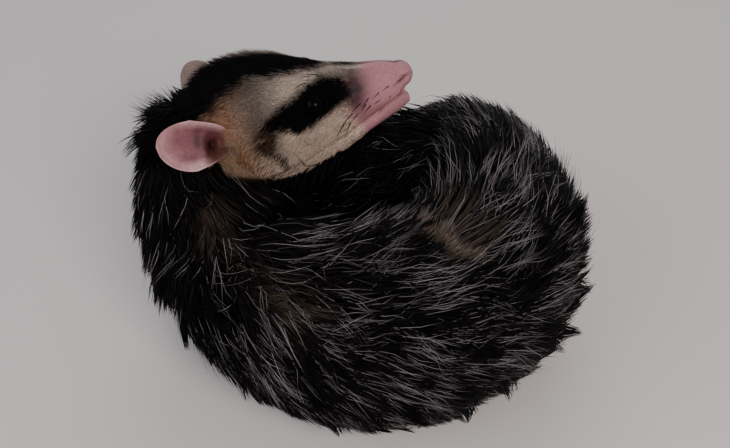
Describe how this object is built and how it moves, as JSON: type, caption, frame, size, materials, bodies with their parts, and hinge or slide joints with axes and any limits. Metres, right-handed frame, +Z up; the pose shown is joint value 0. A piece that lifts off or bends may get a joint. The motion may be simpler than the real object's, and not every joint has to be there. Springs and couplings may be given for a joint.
{
  "type": "opossum",
  "caption": "Life-size still model of a white-eared opossum curled up on the floor, its long-furred back outward and its chin over its rump.",
  "frame": {"origin": "on the floor, under the middle of the curled animal's bounding box", "axes": "+Z up from the floor; +X the way the nose points, across the picture to the right; +Y from the near side, the back, to the far side under the head"},
  "size_m": [0.1966, 0.1924, 0.1324],
  "materials": {
    "coat": "long black guard hair with silver-white tips over a woolly undercoat",
    "face_fur": "short cream fur with black stripes on the crown and over each eye",
    "bare_skin": "soft pink bare skin, slightly moist on the nose",
    "eye": "wet black cornea",
    "tail_dark": "dark, finely scaled bare skin",
    "tail_pale": "pale pink, finely scaled bare skin"
  },
  "bodies": {
    "root": {"head": "face_fur", "jaw": "face_fur", "nose": "bare_skin", "eye_left": "eye", "eye_right": "eye", "ear_left": "bare_skin", "ear_right": "bare_skin", "neck": "coat", "chest": "coat", "loin": "coat", "rump": "coat", "tail_base": "coat", "foreleg_left": "coat", "foreleg_right": "coat", "hindleg_left": "coat", "hindleg_right": "coat", "tail_root": "tail_dark", "tail_middle": "tail_dark", "tail_end": "tail_pale", "tail_tip": "tail_pale"}
  },
  "joints": []
}
